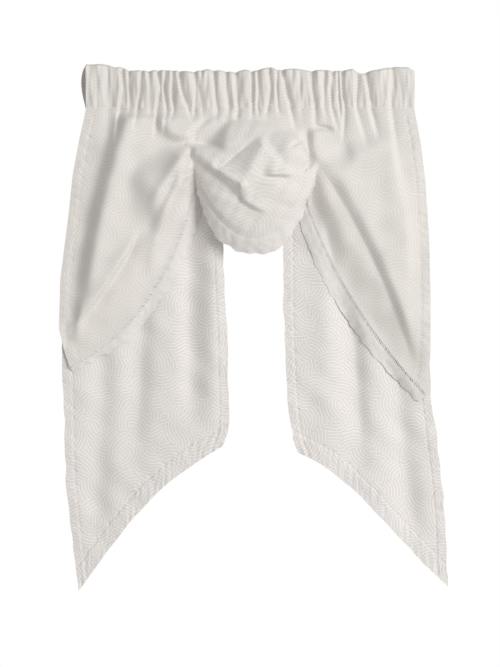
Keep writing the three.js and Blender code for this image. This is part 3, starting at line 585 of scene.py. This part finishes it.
def hem_height(x):
    """Height of the swags' hem below a point."""
    share = np.linspace(0, 1, HEM_STEPS)
    left, right = curve(*LEFT_HEM, share), curve(*RIGHT_HEM, share)
    return np.where(x < 0, np.interp(x, *left.T), np.interp(x, *right.T))


def pouf_hem(share):
    """Points of the pouf's hem at shares of its width."""
    x = lerp(LEFT_HEM[2][0], RIGHT_HEM[0][0], np.asarray(share))
    return np.stack([x, pouf_edge(x, POUF_HEM)], axis=-1)


POUF_BASE, POUF_DEPTH, POUF_ROUND = 8.0, 36.0, 8.0
TOP_SQUARE = (2.6, 2)  # how square the top is on the left and right
# How flat the face is above and below its middle, and how its edge falls off there. Then both at the gathers.
FACE_FLAT, FACE_FALL = (4, 5), (0.9, 0.5)
PINCH_FLAT, PINCH_FALL = 5, 0.9
LEAST_HEIGHT = 8.0
# Depth lost past the edge of the face, and for each millimetre past the gathers up to a reach
PAST_EDGE, PAST_PINCH, PAST_REACH = 40.0, 2.0, 60.0
CURL, CURL_HEIGHT = 2.5, 14.0
PINCHED_RELIEF = 0.35  # share of the folds' depth that is left at the gathers


def pouf_depth(x, z):
    """A flat-faced pillow pinched at both gathers, with its folds, curled back above its hem."""
    square = np.where(x < 0, *TOP_SQUARE)
    wide = np.abs(x) / np.where(x < 0, PINCH, PINCH_TOP)
    top = PINCH_Z + POUF_RISE * np.clip(1 - wide**square, 0, 1) ** (1 / square)
    foot = pouf_edge(x, POUF_FOOT)
    level = (2 * z - top - foot) / np.maximum(top - foot, LEAST_HEIGHT)
    off = np.abs(level)
    pinch = np.clip(1 - np.abs(x / PINCH) ** PINCH_FLAT, 0, 1) ** PINCH_FALL
    face = np.clip(1 - off ** np.where(level > 0, *FACE_FLAT), 0, 1) ** np.where(level > 0, *FACE_FALL)
    pillow = POUF_BASE + (POUF_DEPTH - POUF_ROUND * (x / PINCH) ** 2) * pinch * face
    pillow -= PAST_EDGE * np.clip(off - 1, 0, 2)
    pillow -= CURL * smooth(1 - (z - pouf_edge(x, POUF_HEM)) / CURL_HEIGHT)
    pillow -= PAST_PINCH * np.clip(np.abs(x) - PINCH, 0, PAST_REACH)
    relief = tented(POUF_TENTS, x, z) + folded(POUF_FOLDS, x, z)
    relief += crumple(x, z, size=26, height=0.5, seed=22)
    return pillow + relief * lerp(PINCHED_RELIEF, 1, pinch)


PANEL_DEPTH = 10.0
HEM_DEPTH, HEM_EASE = -3.5, 100.0
# Drops below the seam in which the swags' folds, the clearance to the tails and the pouf come in
FOLD_EASE, CLEAR_EASE, POUF_EASE = 20.0, 30.0, 12.0
SEAM_CLEAR, TAIL_CLEAR, CLEAR_ROUND = 0.3, 3.0, 1.0
# How rounded the pouf meets the swags below and above, and the height and length of the change
MEET_LOW, MEET_HIGH, MEET_Z, MEET_EASE = 1.4, 5.0, -200.0, 60.0


def front_depth(x, z):
    """Swags and pouf in one cloth. The swags fall back towards their hem and stay clear of the tails."""
    hang = smooth((SEAM - z) / HANG)
    plain = lerp(SEAM_DEPTH, PANEL_DEPTH, hang) + swelled(SWAG_SWELLS, x, z) * hang
    plain = lerp(plain, HEM_DEPTH, smooth(1 - (z - hem_height(x)) / HEM_EASE) * hang)
    relief = (folded(SWAG_FOLDS, x, z) + tented(SWAG_TENTS, x, z)) * smooth((SEAM - z) / FOLD_EASE)
    relief += crumple(x, z, size=50, height=0.8, seed=21) * hang
    least = tail_depth(x, z) + lerp(SEAM_CLEAR, TAIL_CLEAR, smooth((SEAM - z) / CLEAR_EASE))
    swag = higher(plain + gathered(x, z) + relief, least, CLEAR_ROUND)
    meet = lerp(MEET_LOW, MEET_HIGH, smooth((z - MEET_Z) / MEET_EASE))
    both = lerp(swag, higher(swag, pouf_depth(x, z), meet), smooth((SEAM - z) / POUF_EASE))
    return higher(both + swelled(PITS, x, z), least, CLEAR_ROUND)


# Outward bow of the panel's two side edges at shares of their drop
SIDE_BOWS = table(
    "down left right",
    (0, 0, 0), (0.12, 8, 8), (0.25, 15, 13), (0.45, 19, 15), (0.65, 25, 13), (0.85, 22, 9), (0.93, 12, 5),
    (1, 0, 0),
)
# The cloth's own lengths run on faster where it stands out, so the watermark bends with the folds around the
# middle of the pouf
BEND, BEND_EASE, BEND_Z = 0.3, 50.0, -200.0

stops = (HEADING_ENDS[0], *PULLS, HEADING_ENDS[1])
spans = [np.linspace(stops[k], stops[k + 1], n, endpoint=False) for k, n in enumerate(PANEL_COLUMNS)]
seam_x = np.r_[np.concatenate(spans), HEADING_ENDS[1]]
left_share = (seam_x - stops[0]) / (stops[1] - stops[0])
middle_share = np.clip((seam_x - stops[1]) / (stops[2] - stops[1]), 0, 1)
right_share = (seam_x - stops[2]) / (stops[3] - stops[2])
hem = np.where((seam_x < PULLS[0])[:, None], curve(*LEFT_HEM, left_share), pouf_hem(middle_share))
hem = np.where((seam_x > PULLS[1])[:, None], curve(*RIGHT_HEM, right_share), hem)
drop = np.linspace(0, 1, PANEL_ROWS)[:, None]
downs = [b.down for b in SIDE_BOWS]
left_bow = np.interp(drop, downs, [b.left for b in SIDE_BOWS])
right_bow = np.interp(drop, downs, [b.right for b in SIDE_BOWS])
swing = right_bow * np.clip(right_share, 0, 1) ** 2 - left_bow * np.clip(1 - left_share, 0, 1) ** 2
x = lerp(seam_x, hem[:, 0], drop) + swing
z = lerp(SEAM, hem[:, 1], drop)
depth = front_depth(x, z)
for edge, seed in ((0, 24), (-1, 25)):
    depth += hemmed(np.abs(x - x[:, [edge]]), -z, SIDE_HEM, seed) * smooth((SEAM - z) / FOLD_EASE)
points = np.stack([x, -depth, z], axis=2)
bend_x = BEND * depth * np.tanh(x / BEND_EASE)
bend_z = BEND * depth * np.tanh((z - BEND_Z) / BEND_EASE)
lengths = np.stack([x - bend_x, -z + bend_z], axis=2)
panel = cloth_piece("front_balloon_panel", [(points, lengths)], gathered_cloth)
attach(panel, "root")
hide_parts("balloon_panel")

# Ladder edging
# A narrow plain band joined to the panel's hem by a ladder of thread bars, in three lengths whose ends are
# tucked in at the gathers. The cloth is crinkled from sewing, its lower edge a little frilly.
EDGING_WIDTH = 28.0
RAIL = 1.5  # strip of the edging above its ladder
EDGING_STEPS, BAND_ROWS, BAR_STEPS = 320, 14, 4
WIDTH_STOPS = (0, 0.3, 0.7, 1)  # shares of its length between which its width changes
# Ranges of the bars' width, of their lean in shares of the ladder's height, and of the slots in shares of the
# widest one
BAR_WIDTH, BAR_LEAN, SLOT_SHARE = (1.8, 4.0), (0.4, 0.5), (0.3, 1)
CRINKLE_EASE = 8.0
GROOVE, GROOVE_HALF = 0.7, 2.2
FALL_BACK = 1.2  # the higher, the later the band falls back from the hem

# Plain weave: a dull, slightly grainy face, drawn wider than the real threads, which are too fine to show
WEAVE_SPACING, WEAVE_RAISE = 1.6, 0.15
plain_cloth = bpy.data.materials.new("plain edging cotton")
plain_cloth.use_nodes = True
tree = plain_cloth.node_tree
shader = tree.nodes["Principled BSDF"]
place = node(tree, "ShaderNodeUVMap", uv_map="cloth").outputs["UV"]
threads = {"Vector": place, "Scale": 1 / (WEAVE_SPACING * MM), "Detail": 2.0}
weave = node(tree, "ShaderNodeTexNoise", threads).outputs[0]
grain = node(tree, "ShaderNodeMapRange", {"Value": weave, "From Min": 0.35, "From Max": 0.65}).outputs[0]
shades = {0: grain, 6: linear("#d7d2cd"), 7: linear("#ece8e5")}
colour = node(tree, "ShaderNodeMix", shades, data_type="RGBA").outputs[2]
bump = node(tree, "ShaderNodeBump", {"Height": grain, "Strength": 1.0, "Distance": WEAVE_RAISE * MM})
tree.links.new(colour, shader.inputs["Base Color"])
tree.links.new(bump.outputs[0], shader.inputs["Normal"])
shader.inputs["Roughness"].default_value = 0.85


def edging(name, hem_at, widths, ladder, slots, lower_depth, cad_node, seed):
    """One length along a hem. Its widths are at its start, middle and end, its widest slots at both ends."""
    share = np.linspace(0, 1, EDGING_STEPS)
    line = hem_at(share)
    steps = np.r_[0, np.cumsum(np.hypot(*np.diff(line, axis=0).T))]
    run = np.gradient(line, axis=0)
    run /= np.linalg.norm(run, axis=1)[:, None]
    base = front_depth(line[:, 0], line[:, 1])
    first, middle, last = widths
    wide = np.interp(share, WIDTH_STOPS, (first, middle, middle, last))
    rails = (line[:, 0], line[:, 1], run[:, 1], -run[:, 0], base, wide)

    def strip(along, across):
        """Points at lengths along the hem and distances across it, of which 1 is the lower edge."""
        along, across = np.broadcast_arrays(along, across)
        x0, z0, out_x, out_z, hem_depth, width = (np.interp(along, steps, rail) for rail in rails)
        frill = crumple(along, 0, size=20, height=0.9, seed=seed)
        away = across * width + smooth(2 * across - 1) * frill
        x, z = x0 + out_x * away, z0 + out_z * away
        crinkle = crumple(along, away, size=13, height=0.22, seed=seed + 1) * smooth(away / CRINKLE_EASE)
        groove = -GROOVE * np.exp(-(((away - RAIL - ladder / 2) / GROOVE_HALF) ** 2))
        depth = lerp(hem_depth, lower_depth(x, z, hem_depth), across**FALL_BACK) + crinkle + groove
        return np.stack([x, -depth, z], axis=2), np.stack([along, away], axis=2)

    even = np.linspace(0, steps[-1], EDGING_STEPS)[None, :]
    head, foot = RAIL / EDGING_WIDTH, (RAIL + ladder) / EDGING_WIDTH
    grids = [strip(even, np.array([[0], [head]]))]
    grids.append(strip(even, np.linspace(foot, 1, BAND_ROWS)[:, None]))
    draw = np.random.default_rng(seed + 2)
    at = 0.0
    while at < steps[-1]:
        bar, lean = draw.uniform(*BAR_WIDTH), draw.uniform(*BAR_LEAN) * ladder
        along = at + np.array([[0], [lean / 2], [lean]]) + np.linspace(0, bar, BAR_STEPS)[None, :]
        across = np.array([[head], [0.5 * (foot + head)], [foot]])
        grids.append(strip(np.clip(along, 0, steps[-1]), across))
        at += bar + draw.uniform(*SLOT_SHARE) * lerp(*slots, min(at / steps[-1], 1))
    piece = cloth_piece(name, grids, plain_cloth)
    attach(piece, "root")
    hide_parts(cad_node)


# The side bands lie just clear of the tails, the right one lifted by a share. The pouf's turns in under it.
LEFT_CLEAR, RIGHT_CLEAR, RIGHT_LIFT, POUF_TURN_IN = 0.5, 0.9, 0.12, 13.0
edging(
    "left_ladder_edging", lambda share: curve(*LEFT_HEM, share),
    widths=(8, 26, 26), ladder=7, slots=(0.4, 0.5),
    lower_depth=lambda x, z, hem_depth: tail_depth(x, z) + LEFT_CLEAR,
    cad_node="ladder_edging_left", seed=31,
)
edging(
    "pouf_ladder_edging", pouf_hem,
    widths=(3, 28, 3), ladder=0.3, slots=(0.3, 0.3),
    lower_depth=lambda x, z, hem_depth: hem_depth - POUF_TURN_IN,
    cad_node="ladder_edging_pouf", seed=41,
)
edging(
    "right_ladder_edging", lambda share: curve(*RIGHT_HEM, share),
    widths=(22, 29, 19), ladder=5, slots=(0.3, 1.6),
    lower_depth=lambda x, z, hem_depth: lerp(tail_depth(x, z) + RIGHT_CLEAR, hem_depth, RIGHT_LIFT),
    cad_node="ladder_edging_right", seed=51,
)

# Floor, light and camera
# A pale floor below the hung cloth, one large soft light from the right and an even white surround. Places
# and sizes here are in metres.
FLOOR_SIZE, FLOOR_Z = 3.2, -1.35
bpy.ops.mesh.primitive_plane_add(size=FLOOR_SIZE, location=(0, 0, FLOOR_Z))
floor = bpy.context.object
floor.name = "pale_floor"
paint = bpy.data.materials.new("pale floor paint")
paint.use_nodes = True
shader = paint.node_tree.nodes["Principled BSDF"]
shader.inputs["Base Color"].default_value = linear("#f0efec")
shader.inputs["Roughness"].default_value = 0.7
floor.data.materials.append(paint)

# The surround lights the cloth dimly, and the camera sees it plain white
WHITE, DIM = linear("#ffffff"), 0.45
world = bpy.data.worlds.new("white studio")
bpy.context.scene.world = world
world.use_nodes = True
surround = world.node_tree
dim = surround.nodes["Background"]
dim.inputs["Color"].default_value = WHITE
dim.inputs["Strength"].default_value = DIM
seen = node(surround, "ShaderNodeBackground", {"Color": WHITE, "Strength": 1.0})
to_camera = node(surround, "ShaderNodeLightPath").outputs["Is Camera Ray"]
chosen = node(surround, "ShaderNodeMixShader", {0: to_camera, 1: dim.outputs[0], 2: seen.outputs[0]})
surround.links.new(chosen.outputs[0], surround.nodes["World Output"].inputs[0])

SOFTBOX_SIZE, SOFTBOX_POWER = 3.0, 176
softbox_at, softbox_target = np.array((3.2, -3.8, 0.9)), np.array((0, 0, -0.45))
lamp = bpy.data.lights.new("right softbox", "AREA")
lamp.shape = "DISK"
lamp.size = SOFTBOX_SIZE
lamp.energy = SOFTBOX_POWER
softbox = bpy.data.objects.new("right softbox", lamp)
softbox.location = softbox_at
aim = softbox_target - softbox_at
softbox.rotation_euler = (np.arctan2(np.hypot(aim[0], aim[1]), -aim[2]), 0, np.arctan2(-aim[0], aim[1]))
bpy.context.collection.objects.link(softbox)

# The camera faces the cloth from far off. At its distance a pixel of the picture covers a set width.
VIEW_DISTANCE, VIEW_X, VIEW_Z = 5.0, -0.0017, -0.4654
SENSOR, MM_PER_PIXEL, PICTURE_HEIGHT = 36, 1.74, 667
camera = bpy.data.objects.new("camera", bpy.data.cameras.new("camera"))
camera.location = (VIEW_X, -VIEW_DISTANCE, VIEW_Z)
camera.rotation_euler = (np.pi / 2, 0, 0)
camera.data.sensor_width = SENSOR
camera.data.lens = SENSOR * VIEW_DISTANCE / (PICTURE_HEIGHT * MM_PER_PIXEL * MM)
bpy.context.collection.objects.link(camera)
bpy.context.scene.camera = camera
bpy.context.scene.view_settings.view_transform = "Standard"
